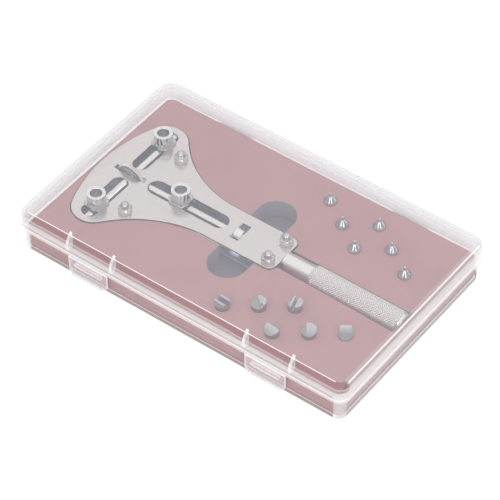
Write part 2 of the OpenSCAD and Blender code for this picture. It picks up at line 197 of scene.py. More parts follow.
def by_radius(centre, keep, low, high):
    """Level by distance from an axis through centre. keep is 0 along the axis and 1 across it."""
    def level(nt):
        tc = nt.nodes.new("ShaderNodeTexCoord")
        shift = nt.nodes.new("ShaderNodeVectorMath")
        shift.operation = "SUBTRACT"
        shift.inputs[1].default_value = centre
        across = nt.nodes.new("ShaderNodeVectorMath")
        across.operation = "MULTIPLY"
        across.inputs[1].default_value = keep
        size = nt.nodes.new("ShaderNodeVectorMath")
        size.operation = "LENGTH"
        nt.links.new(tc.outputs["Object"], shift.inputs[0])
        nt.links.new(shift.outputs[0], across.inputs[0])
        nt.links.new(across.outputs[0], size.inputs[0])
        return level_between(nt, size.outputs["Value"], low, high)
    return level


# ---------------------------------------------------------------- materials
PORE_DEPTH = 0.12 * MM
MARK_DEPTH = 0.02 * MM


def plastic(name, alpha, tint, glow=0.0):
    """Frosted clear plastic. alpha is the share of light that one face stops, and glow is
    painted light, an emission that brightens the highlight line along an edge."""
    m, nt, bsdf = new_material(name)
    flow = noise(nt, (26, 60, 60), 3.0, 0.55, 0.6)
    low = tuple(c * 0.965 for c in tint)
    nt.links.new(ramp(nt, flow, [(0.3, low), (0.7, tint)]), bsdf.inputs["Base Color"])
    grain = noise(nt, (160, 160, 160), 2.0)
    nt.links.new(ramp(nt, grain, [(0.3, 0.2), (0.7, 0.27)]), bsdf.inputs["Roughness"])
    # painted glow: emission that stands in for the highlight along an edge
    bsdf.inputs["Emission Color"].default_value = (1.0, 0.975, 0.98, 1)
    bsdf.inputs["Emission Strength"].default_value = glow
    bsdf.inputs["Alpha"].default_value = alpha
    bsdf.inputs["IOR"].default_value = 1.49
    bsdf.inputs["Specular IOR Level"].default_value = 0.5
    return m


def foam(name, dark, light):
    """Fine closed-cell foam: cells about 0.3 mm across, with slow patches of shade."""
    m, nt, bsdf = new_material(name)
    cells = nt.nodes.new("ShaderNodeTexVoronoi")
    cells.inputs["Scale"].default_value = 1.0
    nt.links.new(coords(nt, (3200, 3200, 3200)), cells.inputs["Vector"])
    speck = ramp(nt, cells.outputs["Distance"], [(0.1, light), (0.85, dark)])
    patch = ramp(nt, noise(nt, (45, 45, 45), 3.0), [(0.3, 0.93), (0.7, 1.0)])
    nt.links.new(mix_color(nt, "MULTIPLY", 1.0, speck, patch), bsdf.inputs["Base Color"])
    bsdf.inputs["Roughness"].default_value = 0.95
    bsdf.inputs["Specular IOR Level"].default_value = 0.2
    bsdf.inputs["Sheen Weight"].default_value = 0.15
    bsdf.inputs["Sheen Roughness"].default_value = 0.6
    bump(nt, bsdf, cells.outputs["Distance"], 0.5, PORE_DEPTH)
    return m


def metal(name, color, rough, grain, spread=0.03, strength=0.15):
    """Steel with fine machining marks. grain is the marks' frequency along X, Y and Z."""
    m, nt, bsdf = new_material(name)
    marks = noise(nt, grain, 4.0, 0.65)
    cloud = noise(nt, (120, 120, 120), 3.0)
    low = tuple(c * (1 - spread) for c in color)
    tone = ramp(nt, marks, [(0.3, low), (0.7, color)])
    shade = ramp(nt, cloud, [(0.3, 1 - spread), (0.7, 1.0)])
    nt.links.new(mix_color(nt, "MULTIPLY", 1.0, tone, shade), bsdf.inputs["Base Color"])
    bsdf.inputs["Metallic"].default_value = 1.0
    nt.links.new(ramp(nt, mix_color(nt, "MIX", 0.5, marks, cloud),
                      [(0.3, rough[0]), (0.7, rough[1])]), bsdf.inputs["Roughness"])
    bump(nt, bsdf, marks, strength, MARK_DEPTH)
    return m


def shaded_steel(name, color, rough, level, low_shade, metallic=1.0):
    """Steel with painted shade: darker where level is 0, in its cuts, valleys and the walls under a
    socket's top ring, and plain where level is 1.
    """
    m, nt, bsdf = new_material(name)
    # painted shade, from the level
    shade = ramp(nt, level(nt), [(0.0, low_shade), (1.0, 1.0)])
    marks = noise(nt, (1800, 1800, 600), 4.0, 0.65)
    tone = ramp(nt, marks, [(0.3, tuple(c * 0.94 for c in color)), (0.7, color)])
    nt.links.new(mix_color(nt, "MULTIPLY", 1.0, tone, shade), bsdf.inputs["Base Color"])
    bsdf.inputs["Metallic"].default_value = metallic
    nt.links.new(ramp(nt, marks, [(0.3, rough[0]), (0.7, rough[1])]), bsdf.inputs["Roughness"])
    bump(nt, bsdf, marks, 0.12, MARK_DEPTH)
    return m


MAT = {
    # the clear case's bands are lit and shaded copies of one frosted plastic; their tints, alphas and
    # glows paint the light and shade on each band
    "top": plastic("clear_panel", 0.135, tint=(0.91, 0.92, 0.985)),
    "wall": plastic("clear_wall", 0.46, tint=(1.0, 0.975, 0.985)),
    # painted shade: thin is a darker band high on the lid's wall and along its back and left edges
    "thin": plastic("clear_wall_thin", 0.16, tint=(0.80, 0.78, 0.79)),
    # painted shadow: the dark line on the front wall just above the lip's ledge
    "shade": plastic("clear_wall_shade", 0.48, tint=(0.66, 0.625, 0.63)),
    "haze": plastic("clear_wall_haze", 0.30, tint=(0.93, 0.91, 0.92)),
    # painted shade: the dark band along the lid's rounded top edge, at the front and round its corners
    "curve": plastic("clear_curve", 0.10, tint=(0.36, 0.38, 0.40)),
    "lip": plastic("clear_lip", 0.44, tint=(0.97, 0.945, 0.955)),
    # painted highlights: edge, rim and latch_rim are near white with glow, for the bright lines along the
    # lid's edges and lip and round the ribs and latches
    "edge": plastic("clear_edge", 0.72, tint=(1.0, 0.985, 0.985), glow=0.2),
    "rim": plastic("clear_rim", 0.6, tint=(1.0, 0.97, 0.975), glow=0.28),
    "latch_rim": plastic("clear_latch_rim", 0.75, tint=(1.0, 0.96, 0.965), glow=0.12),
    # painted light on the tray: brighter copies for its front and right corners (corner) and its right
    # end (base_end)
    "corner": plastic("clear_corner", 0.42, tint=(0.95, 0.925, 0.93)),
    "base": plastic("clear_base", 0.14, tint=(0.88, 0.83, 0.84)),
    "base_end": plastic("clear_base_end", 0.30, tint=(0.93, 0.845, 0.86)),
    # painted light: foot_blend lightens the shaded bottom of the foam's side
    "foot_blend": plastic("clear_foot_blend", 0.38, tint=(0.66, 0.50, 0.515)),
    # painted shadow: foot, end_foot and foot_line are dark bands where the foam's lower edge sits in
    # shade, tinted with the foam's colour seen through the plastic
    "foot": plastic("clear_foot", 0.9, tint=(0.30, 0.20, 0.205)),
    "end_foot": plastic("clear_end_foot", 0.9, tint=(0.40, 0.315, 0.325)),
    "foot_line": plastic("clear_foot_line", 0.9, tint=(0.30, 0.25, 0.25)),
    "latch": plastic("clear_latch", 0.30, tint=(0.88, 0.82, 0.835)),
    "fin": plastic("clear_fin", 0.5, tint=(0.84, 0.81, 0.82)),
    "foam": foam("foam_face", (0.48, 0.235, 0.235), (0.58, 0.30, 0.30)),
    # painted shade: the nests and recesses get a darker, bluer grey
    "foam_cut_painted_shade": foam("foam_cut_painted_shade", (0.29, 0.255, 0.295), (0.37, 0.33, 0.38)),
    "plate": metal("plate_satin", (0.80, 0.745, 0.705), (0.2, 0.28), (60, 2600, 2600), 0.03, 0.05),
    # painted shade: the lower plate's blue tint stands in for the blue-grey shade seen through the slots
    "plate_low": metal("plate_lower", (0.72, 0.77, 1.0), (0.24, 0.34), (60, 2600, 2600)),
    "plain": metal("steel_turned", (0.52, 0.52, 0.56), (0.2, 0.34), (2200, 2200, 300)),
    "polish": metal("steel_polished", (0.93, 0.905, 0.87), (0.06, 0.14), (500, 500, 500), 0.02, 0.03),
    # painted shade: the sockets' walls and bores are darker than their top ring
    "chrome": shaded_steel("steel_chromed", (0.88, 0.87, 0.87), (0.06, 0.14),
                           by_height(SOCKET_TOP - 0.4 * MM, SOCKET_TOP - 0.15 * MM), 0.62),
    "nut": metal("steel_nut", (0.66, 0.65, 0.64), (0.04, 0.09), (500, 500, 500), 0.02, 0.03),
    # painted shade: darker in the knurl's valleys
    "knurl": shaded_steel("steel_knurled", (0.98, 0.94, 0.91), (0.2, 0.3),
                          by_radius((0, 0, AXIS_Z), (0, 1, 1), GRIP_R - KNURL_DEPTH,
                                    GRIP_R - 0.3 * KNURL_DEPTH), 0.72, 0.7),
    # painted shade: darker in the wheel's tooth cuts
    "teeth": shaded_steel("steel_toothed", (1.0, 0.97, 0.94), (0.12, 0.2),
                          by_radius((WHEEL_X, 0, AXIS_Z), (1, 0, 1), WHEEL_R - TOOTH_DEPTH,
                                    WHEEL_R - 0.5 * TOOTH_DEPTH), 0.15),
    # the wheel's faces: a rougher faced finish, painted darker than the teeth as shade
    "side": metal("steel_faced_painted_shade", (0.40, 0.41, 0.41), (0.28, 0.42), (900, 900, 900)),
    "bit": metal("steel_bit", (0.52, 0.53, 0.55), (0.06, 0.12), (1800, 1800, 1800)),
    # painted shade: the blade bits are darker towards their cut floors
    "cut": shaded_steel("steel_cut", (0.57, 0.565, 0.59), (0.08, 0.15),
                        by_height(BLADE_LOW, BLADE_HIGH), 0.46),
    "dark": metal("steel_black", (0.12, 0.12, 0.14), (0.3, 0.45), (900, 900, 900)),
}


# ---------------------------------------------------------------- mesh helpers
def finish_mesh(name, bm, mats, sharp_deg=32):
    """Makes an object from bm, smooth shaded with its creases marked sharp."""
    bmesh.ops.remove_doubles(bm, verts=bm.verts, dist=1e-7)
    bmesh.ops.recalc_face_normals(bm, faces=bm.faces)
    limit = math.radians(sharp_deg)
    for f in bm.faces:
        f.smooth = True
    for e in bm.edges:
        e.smooth = len(e.link_faces) == 2 and e.calc_face_angle(0) < limit
    mesh = bpy.data.meshes.new(name)
    bm.to_mesh(mesh)
    bm.free()
    for key in mats:
        mesh.materials.append(MAT[key])
    ob = bpy.data.objects.new(name, mesh)
    SCENE.collection.objects.link(ob)
    return ob


def soften(ob, width, segments, degrees, slot=-1):
    """Rounds the edges where faces meet at more than an angle. slot is the rounds' material."""
    bevel = ob.modifiers.new("edges", "BEVEL")
    bevel.width = width
    bevel.segments = segments
    bevel.limit_method = "ANGLE"
    bevel.angle_limit = math.radians(degrees)
    bevel.material = slot


def slots(looks):
    """Each look's place among a piece's materials."""
    return {look: i for i, look in enumerate(looks)}


CORNER_ANGLES = (0, 7, 18, 30, 45, 60, 72, 83, 90)
SIDES = ("back", "left", "front", "right")


def ring(bm, half_l, half_w, r, z):
    """A rounded rectangle's corner points, anticlockwise from the +X side's +Y end."""
    out = []
    for sx, sy, start in ((1, 1, 0), (-1, 1, 90), (-1, -1, 180), (1, -1, 270)):
        for a in CORNER_ANGLES:
            t = math.radians(start + a)
            out.append(bm.verts.new((sx * (half_l - r) + r * math.cos(t),
                                     sy * (half_w - r) + r * math.sin(t), z)))
    return out


def loft(bm, rings, paint):
    """Quads between successive rings. paint(band, side, straight) picks a face's material."""
    steps = len(CORNER_ANGLES)
    for band, (a, b) in enumerate(zip(rings, rings[1:])):
        n = len(a)
        for i in range(n):
            f = bm.faces.new((a[i], a[(i + 1) % n], b[(i + 1) % n], b[i]))
            f.material_index = paint(band, SIDES[i // steps], i % steps == steps - 1)


def box_mesh(bm, lo, hi, mat):
    """A plain block between two corners."""
    ret = bmesh.ops.create_cube(bm, size=1)
    for v in ret["verts"]:
        v.co = Vector((lo[k] + (v.co[k] + 0.5) * (hi[k] - lo[k]) for k in range(3)))
    for f in {f for v in ret["verts"] for f in v.link_faces}:
        f.material_index = mat


def prism_x(bm, outline, x0, x1, end_mat, side_mat):
    """A bar along X whose section is an outline of (y, z) points."""
    a = [bm.verts.new((x0, y, z)) for y, z in outline]
    b = [bm.verts.new((x1, y, z)) for y, z in outline]
    bm.faces.new(a).material_index = end_mat
    bm.faces.new(list(reversed(b))).material_index = end_mat
    for i in range(len(outline)):
        j = (i + 1) % len(outline)
        bm.faces.new((a[i], b[i], b[j], a[j])).material_index = side_mat


def quarter(radius, degrees):
    """How far a quarter round has gone along one side, and has left along the other, at an angle."""
    a = math.radians(degrees)
    return radius * (1 - math.cos(a)), radius * (1 - math.sin(a))


def arc(cx, cz, r, start, end, steps):
    """Points along an arc, between two angles in degrees."""
    turns = [math.radians(start + (end - start) * i / steps) for i in range(steps + 1)]
    return [(cx + r * math.cos(t), cz + r * math.sin(t)) for t in turns]


def circle(place, r, h, segments):
    """Points round an axis at height h."""
    turns = [2 * math.pi * i / segments for i in range(segments)]
    return [place(r * math.cos(t), r * math.sin(t), h) for t in turns]


def bridge(bm, a, b, mat=0):
    """Quads between two closed rows of points."""
    for i in range(len(a)):
        j = (i + 1) % len(a)
        bm.faces.new((a[i], a[j], b[j], b[i])).material_index = mat


def lathe(bm, profile, place, segments=48, mat=0, close=True):
    """Turns (radius, height) points about an axis. place maps (x, y, height) to the part's frame."""
    rows = []
    for r, h in profile:
        points = circle(place, r, h, segments) if r > 0 else [place(0, 0, h)]
        rows.append([bm.verts.new(co) for co in points])
    for a, b in zip(rows, rows[1:] + ([rows[0]] if close else [])):
        if len(a) > 1 and len(b) > 1:
            bridge(bm, a, b, mat)
            continue
        tip, row = (a[0], b) if len(a) == 1 else (b[0], a)
        for i in range(segments):
            bm.faces.new((tip, row[i], row[(i + 1) % segments])).material_index = mat


def up(x0, y0, z0):
    """Turning axis straight up from a point."""
    return lambda x, y, h: (x0 + x, y0 + y, z0 + h)


def along_x(y0, z0):
    """Turning axis along X, where heights are x."""
    return lambda x, y, h: (h, y0 + x, z0 + y)


def along_y(x0, z0):
    """Turning axis along Y, where heights are y."""
    return lambda x, y, h: (x0 + x, h, z0 + y)


def add(ob, body, slot, *replaced):
    """Lets a piece ride on a body and stand for the CAD nodes that it replaces."""
    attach(ob, body)
    if replaced:
        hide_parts(*replaced)
    return ob


# ---------------------------------------------------------------- the case
def knuckle(bm, x0, x1, mat):
    """One hinge knuckle with chamfered ends."""
    c = 0.15 * MM
    profile = [(KNUCKLE_HOLE, x0), (KNUCKLE_R - c, x0), (KNUCKLE_R, x0 + c), (KNUCKLE_R, x1 - c),
               (KNUCKLE_R - c, x1), (KNUCKLE_HOLE, x1)]
    lathe(bm, profile, along_x(HINGE_Y, HINGE_Z), 32, mat)


LID_LOOKS = ("top", "wall", "lip", "edge", "curve", "thin", "haze", "shade")
LID_SLOT = slots(LID_LOOKS)
EDGE_TURNS = (18, 36, 54, 68, 79, 90)
# the looks of the lid's rounded top edge on each side, one for each turn: painted highlight lines and
# shade bands, placed on each side as the light falls there
EDGE_LOOKS = {"front": ("curve", "curve", "curve", "curve", "edge", "top"),
              "right": ("haze", "haze", "edge", "thin", "top", "top"),
              "left": ("haze", "haze", "thin", "thin", "lip", "top"),
              "back": ("haze", "haze", "thin", "thin", "lip", "top")}


def lid_rings(bm, steps):
    """Rings of the lid at (look, inset from the lip's face, height) steps."""
    return [ring(bm, LIP_HALF_L - inset, LIP_HALF_W - inset, LIP_R - inset, z)
            for look, inset, z in steps]


def lid_outside(bm):
    """Outer skin, from the lip's foot up to the top panel. Each look is that of the band below."""
    steps = [("lip", WALL, LIP_Z), ("lip", LIP_SOFT, LIP_Z), ("edge", 0, LIP_Z + LIP_SOFT),
             ("lip", 0, LIP_TOP - LIP_SOFT), ("edge", LIP_SOFT, LIP_TOP),
             ("shade", LIP_PROUD, LIP_TOP + LIP_SOFT), ("shade", LIP_PROUD, SHADE_TOP),
             ("wall", LIP_PROUD, PLAIN_TOP), ("thin", LIP_PROUD, THIN_TOP),
             ("haze", LIP_PROUD, TOP_Z - EDGE_R)]
    first = len(steps) - 1
    for degrees in EDGE_TURNS:
        come_in, below = quarter(EDGE_R, degrees)
        steps.append(("curve", LIP_PROUD + come_in, TOP_Z - below))

    def paint(band, side, straight):
        look = steps[band + 1][0]
        # the painted bands differ by side as the light falls: only the front gets the painted shadow line
        # over the lip, and the right side's straight faces take the plain wall look in place of thin and
        # haze
        if look == "shade" and side != "front":
            look = "wall"
        elif look in ("thin", "haze") and side == "right" and straight:
            look = "wall"
        elif look == "curve" and straight:
            look = EDGE_LOOKS[side][band - first]
        elif look == "curve" and band == len(steps) - 2:
            look = "top"
        return LID_SLOT[look]

    rings = lid_rings(bm, steps)
    loft(bm, rings, paint)
    bm.faces.new(rings[-1]).material_index = LID_SLOT["top"]


def lid_inside(bm):
    """Inner skin, from the ceiling down to the lip's foot. Each look is that of the band above."""
    liner = LIP_PROUD + LID_WALL
    steps = []
    for degrees in (90, 60, 30, 0):
        come_in, below = quarter(EDGE_R - WALL, degrees)
        steps.append(("curve", liner + come_in, TOP_Z - WALL - below))
    steps += [("curve", liner, THIN_TOP), ("thin", liner, LINER_TOP), ("wall", liner, LEDGE_Z),
              ("lip", WALL, LEDGE_Z), ("lip", WALL, LIP_Z)]

    def paint(band, side, straight):
        look = steps[band + 1][0]
        return LID_SLOT["haze" if look == "curve" and side == "right" and straight else look]

    rings = lid_rings(bm, steps)
    bm.faces.new(list(reversed(rings[0]))).material_index = LID_SLOT["top"]
    loft(bm, rings, paint)


def lid_piece():
    """The lid: both skins, which share the lip's foot, and a hinge knuckle behind each latch."""
    bm = bmesh.new()
    lid_outside(bm)
    lid_inside(bm)
    half = 5 * MM
    tab_in, tab_out = HINGE_Y - 1 * MM, HINGE_Y + 0.4 * MM
    tab_low, tab_high = HINGE_Z + 0.9 * MM, LIP_Z + 0.05 * MM
    for x in (-LATCH_X, LATCH_X):
        knuckle(bm, x - half, x + half, LID_SLOT["lip"])
        box_mesh(bm, (x - half, tab_in, tab_low), (x + half, tab_out, tab_high), LID_SLOT["lip"])
    return add(finish_mesh("lid_shell", bm, LID_LOOKS), "lid", "clear_case", "case_lid")


def lid_ribs():
    """Stiffening ribs inside the lid's front wall, two over each latch."""
    bm = bmesh.new()
    half_t, spread, corner = 0.8 * MM, 13.7 * MM, 0.3 * MM
    wall_y = -(LIP_HALF_W - LIP_PROUD - 0.5 * MM)
    inner_y, foam_y = -56.9 * MM, -58.1 * MM
    root, low, bend, high = LIP_TOP - 0.1 * MM, 16.3 * MM, 17.6 * MM, TOP_Z - 0.5 * MM
    curve_steps, curve_power = 10, 2.2
    outline = [(inner_y, low + corner), (inner_y - corner, low), (foam_y, low), (foam_y, root),
               (wall_y, root)]
    for i in range(curve_steps + 1):
        t = i / curve_steps
        outline.append((wall_y + (inner_y - wall_y) * t ** curve_power, bend + (high - bend) * t))
    for latch_x in (-LATCH_X, LATCH_X):
        for x in (latch_x - spread, latch_x + spread):
            prism_x(bm, outline, x - half_t, x + half_t, 0, 1)
    # the rounds along the ribs' edges take the rim look, a painted highlight
    ob = finish_mesh("lid_ribs", bm, ("fin", "rim"))
    soften(ob, 0.34 * MM, 2, 40, 1)
    return add(ob, "lid", "clear_case")


BASE_LOOKS = ("base", "lip", "foot", "foot_line", "foot_blend", "base_end", "corner", "end_foot")
BASE_SLOT = slots(BASE_LOOKS)
# painted light: the tray's right end takes lighter copies of its looks
END_LOOK = {"base": "base_end", "foot_blend": "base_end", "foot": "end_foot"}


def base_shell(bm):
    """The tray's skin: up from the foot, over the rim and down inside to the floor."""
    foot, draft, soft = 0.5 * MM, 0.2 * MM, 0.25 * MM
    rim = BASE_HI.z
    steps = []
    # from the foot up: foot_line and foot are a painted shadow band, and foot_blend is painted light
    # above it
    for degrees in (0, 30, 60, 90):
        rise, inset = quarter(foot, degrees)
        steps.append(("foot_line", draft + inset, rise))
    steps += [("foot", 0.8 * draft, FOOT_LINE_Z), ("foot_blend", 0.6 * draft, FOOT_BLEND_Z),
              ("base", 0, rim - soft), ("lip", soft, rim), ("lip", WALL - soft, rim),
              ("lip", WALL, rim - soft), ("base", WALL + draft, WALL + foot),
              ("base", WALL + draft + foot, WALL)]

    def paint(band, side, straight):
        look = steps[band + 1][0]
        # painted light: the straight right end takes lighter copies, and the front and right corners the
        # brighter corner look
        if straight and side == "right":
            look = END_LOOK.get(look, look)
        elif not straight and side in ("front", "right") and look != "lip":
            look = "corner"
        return BASE_SLOT[look]

    rings = [ring(bm, BASE_HI.x - inset, BASE_HALF_W - inset, BASE_R - inset, z)
             for look, inset, z in steps]
    loft(bm, rings, paint)
    bm.faces.new(list(reversed(rings[0]))).material_index = BASE_SLOT["base"]
    bm.faces.new(rings[-1]).material_index = BASE_SLOT["base"]


def base_piece():
    """The tray, with a catch under each latch and a pair of hinge knuckles behind it."""
    bm = bmesh.new()
    base_shell(bm)
    lip = BASE_SLOT["lip"]
    catch_half, catch_y, catch_low, catch_high = 8 * MM, 61.4 * MM, 8.7 * MM, 9.9 * MM
    half, spread, tab_y, tab_half = 2.5 * MM, 7.8 * MM, HINGE_Y - 0.9 * MM, 1.4 * MM
    in_wall = 59.9 * MM
    for latch_x in (-LATCH_X, LATCH_X):
        box_mesh(bm, (latch_x - catch_half, -catch_y, catch_low),
                 (latch_x + catch_half, -in_wall, catch_high), lip)
        for x in (latch_x - spread, latch_x + spread):
            knuckle(bm, x - half, x + half, lip)
            box_mesh(bm, (x - half, in_wall, HINGE_Z - tab_half),
                     (x + half, tab_y, HINGE_Z + tab_half), lip)
    return add(finish_mesh("base_tray", bm, BASE_LOOKS), "case", "clear_case", "case_base")


def clip_plate(bm, lo, hi):
    """The latch's flat plate, with two round corners and a window."""
    cx = (lo.x + hi.x) / 2
    reach, bottom, top = 8.6 * MM, 8.1 * MM, 10.5 * MM
    end = (top - bottom) / 2
    outline = ([(hi.x, hi.z), (lo.x, hi.z)]
               + arc(lo.x + CLIP_R, lo.z + CLIP_R, CLIP_R, 180, 270, 8)
               + arc(hi.x - CLIP_R, lo.z + CLIP_R, CLIP_R, 270, 360, 8))
    window = (arc(cx - reach + end, bottom + end, end, 90, 270, 10)
              + arc(cx + reach - end, bottom + end, end, 270, 450, 10))
    faces = []
    for y in (CLIP_OUT, CLIP_IN):
        loops = [[bm.verts.new((x, y, z)) for x, z in points] for points in (outline, window)]
        edges = [bm.edges.new((a, b)) for loop in loops for a, b in zip(loop, loop[1:] + loop[:1])]
        bmesh.ops.triangle_fill(bm, edges=edges, use_beauty=True)
        faces.append(loops)
    for front, back in zip(*faces):
        bridge(bm, front, back)
    bmesh.ops.dissolve_limit(bm, angle_limit=0.01, verts=bm.verts, edges=bm.edges)
    # the plate's edges and window walls take the latch_rim look, a painted highlight
    for f in bm.faces:
        f.material_index = 1 if abs(f.normal.y) < 0.5 else 0


def latch_piece(side):
    """A clip that hangs from the lid's lip, with a window that snaps over the base's catch."""
    lo, hi = LATCH_BOX[side]
    bm = bmesh.new()
    clip_plate(bm, lo, hi)
    # the bead along the fold
    bead, fold_z = 0.2 * MM, 13.3 * MM
    profile = [(0, lo.x), (bead, lo.x), (bead, hi.x), (0, hi.x)]
    lathe(bm, profile, along_x(CLIP_OUT, fold_z), 16, 1, close=False)
    # the finger lip at the foot
    root, tip = CLIP_OUT + 0.1 * MM, -63.4 * MM
    lip = [(root, 0), (tip + 0.2 * MM, 0), (tip, 0.2 * MM), (tip, 0.7 * MM),
           (tip + 0.3 * MM, 1.0 * MM), (root, 1.4 * MM)]
    prism_x(bm, [(y, lo.z + z) for y, z in lip], lo.x + CLIP_R, hi.x - CLIP_R, 0, 0)
    ob = finish_mesh("latch_clip_" + side, bm, ("latch", "latch_rim"))
    soften(ob, 0.42 * MM, 2, 40, 1)
    return add(ob, side + "_latch", "clear_case", "latch_" + side)


def shape_handle_nest(bm):
    """Slopes the nest open along the handle's front, and leans it in behind the handle."""
    side_y, top, near = GRIP_R + NEST_GAP, FOAM_HI.z, 0.1 * MM
    tall_from, full_from = 5 * MM, PLATE_END + 10 * MM

    def on_side(v, y):
        return abs(v.co.y - y) < near and v.co.x > PLATE_END

    for f in [f for f in bm.faces if all(on_side(v, side_y) for v in f.verts)]:
        tall = [e for e in f.edges if abs(e.verts[0].co.z - e.verts[1].co.z) > tall_from]
        if len(tall) != 2:
            continue
        # the wall stays upright until NEST_BEND below the top, and leans from there on
        cuts = []
        for e in tall:
            low = min(e.verts, key=lambda v: v.co.z)
            share = (top - NEST_BEND - low.co.z) / e.calc_length()
            cuts.append(bmesh.utils.edge_split(e, low, share)[1])
        bmesh.utils.face_split(f, *cuts)
    for v in bm.verts:
        if abs(v.co.z - top) > near:
            continue
        if on_side(v, -side_y):
            v.co.y -= NEST_OPEN if v.co.x > full_from else NEST_START
        elif on_side(v, side_y):
            v.co.y -= NEST_LEAN


def is_bright_foam(f):
    """Whether a face gets the plain foam colour, not the painted shade: outsides, steps, top, and the
    handle's nest.
    """
    half_l, half_w, top = FOAM_HI
    end_depth, outer_band, side_depth, step_depth = 6 * MM, 4.1 * MM, 2 * MM, 3 * MM
    nest_from, nest_half = 25 * MM, 12 * MM
    c = f.calc_center_median()
    end_wall = (abs(c.x) > half_l - end_depth and abs(f.normal.z) < 0.5
                and (abs(c.x) > half_l - outer_band or abs(c.y) > half_w - outer_band))
    side_wall = abs(c.y) > half_w - side_depth
    level = abs(f.normal.z) > 0.5 and (f.normal.z < 0 or c.z > top - step_depth)
    nest_wall = c.x > nest_from and abs(c.y) < nest_half and abs(f.normal.y) > 0.3
    return end_wall or side_wall or level or nest_wall


def foam_piece():
    """The CAD insert's shape with soft cut edges. Its nests and recesses get a darker, bluer grey as
    painted shade.
    """
    bm = bmesh.new()
    bm.from_mesh(NODES["foam_insert"].data)
    bmesh.ops.remove_doubles(bm, verts=bm.verts, dist=0.001 * MM)
    bmesh.ops.dissolve_limit(bm, angle_limit=math.radians(0.5), verts=bm.verts, edges=bm.edges)
    shape_handle_nest(bm)
    for f in bm.faces:
        f.material_index = 0 if is_bright_foam(f) else 1
    ob = finish_mesh("foam_tray", bm, ("foam", "foam_cut_painted_shade"), 40)
    soften(ob, 0.5 * MM, 3, 50, 0)
    add(ob, "case", "foam", "foam_insert")
    return ob


# ---------------------------------------------------------------- the wrench
def knurl(bm, x0, x1, place):
    """Rows of flat-topped diamonds between crossing valleys, from x0 to x1."""
    around, flat = 26, 0.28
    low = GRIP_R - KNURL_DEPTH
    rows = round((x1 - x0) / (2 * math.pi * GRIP_R / around))
    step_x = (x1 - x0) / rows
    valleys = {}

    def vert(u, v, r):
        t = 2 * math.pi * u / around
        return bm.verts.new(place(r * math.cos(t), r * math.sin(t), x0 + v * step_x))

    def valley(u2, v2):
        """The crossing at (u2, v2) half steps, shared by the diamonds round it."""
        key = (u2 % (2 * around), v2)
        if key not in valleys:
            valleys[key] = vert(u2 / 2, v2 / 2, low)
        return valleys[key]

    for v2 in range(2 * rows + 1):
        for u2 in range(v2 % 2, 2 * around, 2):
            ways = [(du, dv) for du, dv in ((1, 0), (0, 1), (-1, 0), (0, -1)) if 0 <= v2 + dv <= 2 * rows]
            if v2 == 2 * rows:
                # the side that is cut off by the far end comes last
                ways = ways[1:] + ways[:1]
            corners = [valley(u2 + du, v2 + dv) for du, dv in ways]
            if len(corners) == 3:
                # half a diamond against an end, left at the valleys' depth
                middle = vert(u2 / 2, v2 / 2, low)
                bm.faces.new((corners[0], corners[1], middle))
                bm.faces.new((corners[1], corners[2], middle))
                continue
            tops = [vert((u2 + du * flat) / 2, (v2 + dv * flat) / 2, GRIP_R) for du, dv in ways]
            bm.faces.new(tops)
            for i in range(4):
                j = (i + 1) % 4
                bm.faces.new((corners[i], corners[j], tops[j], tops[i]))


def grip_piece():
    """Handle with a diamond knurl between two plain bands."""
    bm = bmesh.new()
    place = along_x(0, AXIS_Z)
    band, lap = 0.7 * MM, 0.02 * MM
    knurl(bm, GRIP_LO.x + band, GRIP_HI.x - band, place)
    band_r, end_r, chamfer = GRIP_R - 0.15 * MM, GRIP_R - 0.5 * MM, 0.35 * MM
    # each band laps over the knurl's end
    for x, s in ((GRIP_LO.x, 1), (GRIP_HI.x, -1)):
        inner = x + s * band
        lathe(bm, [(BORE_R, x), (end_r, x), (band_r, x + s * chamfer), (band_r, inner),
                   (GRIP_R - KNURL_DEPTH - lap, inner + s * lap), (BORE_R, inner)], place, 64)
    return add(finish_mesh("grip_knurled", bm, ("knurl",), 20), "handle", "knurled_steel",
               "handle_grip")


def wheel_piece():
    """Thumb wheel with chamfered rims, dished faces and cut teeth."""
    bm = bmesh.new()
    teeth = 44
    segments = 4 * teeth
    chamfer, dish, flank, notch = 0.3 * MM, 0.25 * MM, 0.12 * MM, 0.05 * MM
    hub_r, dish_low, dish_high, rim_low = 3.9 * MM, 4.2 * MM, WHEEL_R - 1.5 * MM, WHEEL_R - 1.2 * MM

    def tooth(i):
        """Radius at a point: the cut, a flank, the crest and a flank in turn."""
        return WHEEL_R - (TOOTH_DEPTH, flank, 0, flank)[i % 4]

    def rim(i):
        """Radius where the chamfer meets the face, a little lower at the cuts."""
        return min(tooth(i), WHEEL_R - chamfer) - (notch if i % 4 == 0 else 0)

    half = [(0, BORE_R), (0, hub_r), (dish, dish_low), (dish, dish_high), (0, rim_low), (0, rim),
            (chamfer, tooth)]
    rows = []
    for y, r in ([(WHEEL_LO.y + h, r) for h, r in half]
                 + [(WHEEL_HI.y - h, r) for h, r in reversed(half)]):
        row = []
        for i in range(segments):
            t = 2 * math.pi * i / segments
            reach = r(i) if callable(r) else r
            row.append(bm.verts.new((WHEEL_X + reach * math.cos(t), y, AXIS_Z + reach * math.sin(t))))
        rows.append(row)
    # the bands between hub and rim, first on one face and then on the other; the faces take the darker
    # side steel, painted shade
    dished = (1, 2, 3, 9, 10, 11)
    for band, (a, b) in enumerate(zip(rows, rows[1:] + rows[:1])):
        bridge(bm, a, b, 1 if band in dished else 0)
    return add(finish_mesh("wheel_knurled", bm, ("teeth", "side"), 25), "wheel", "knurled_steel",
               "thumb_wheel")


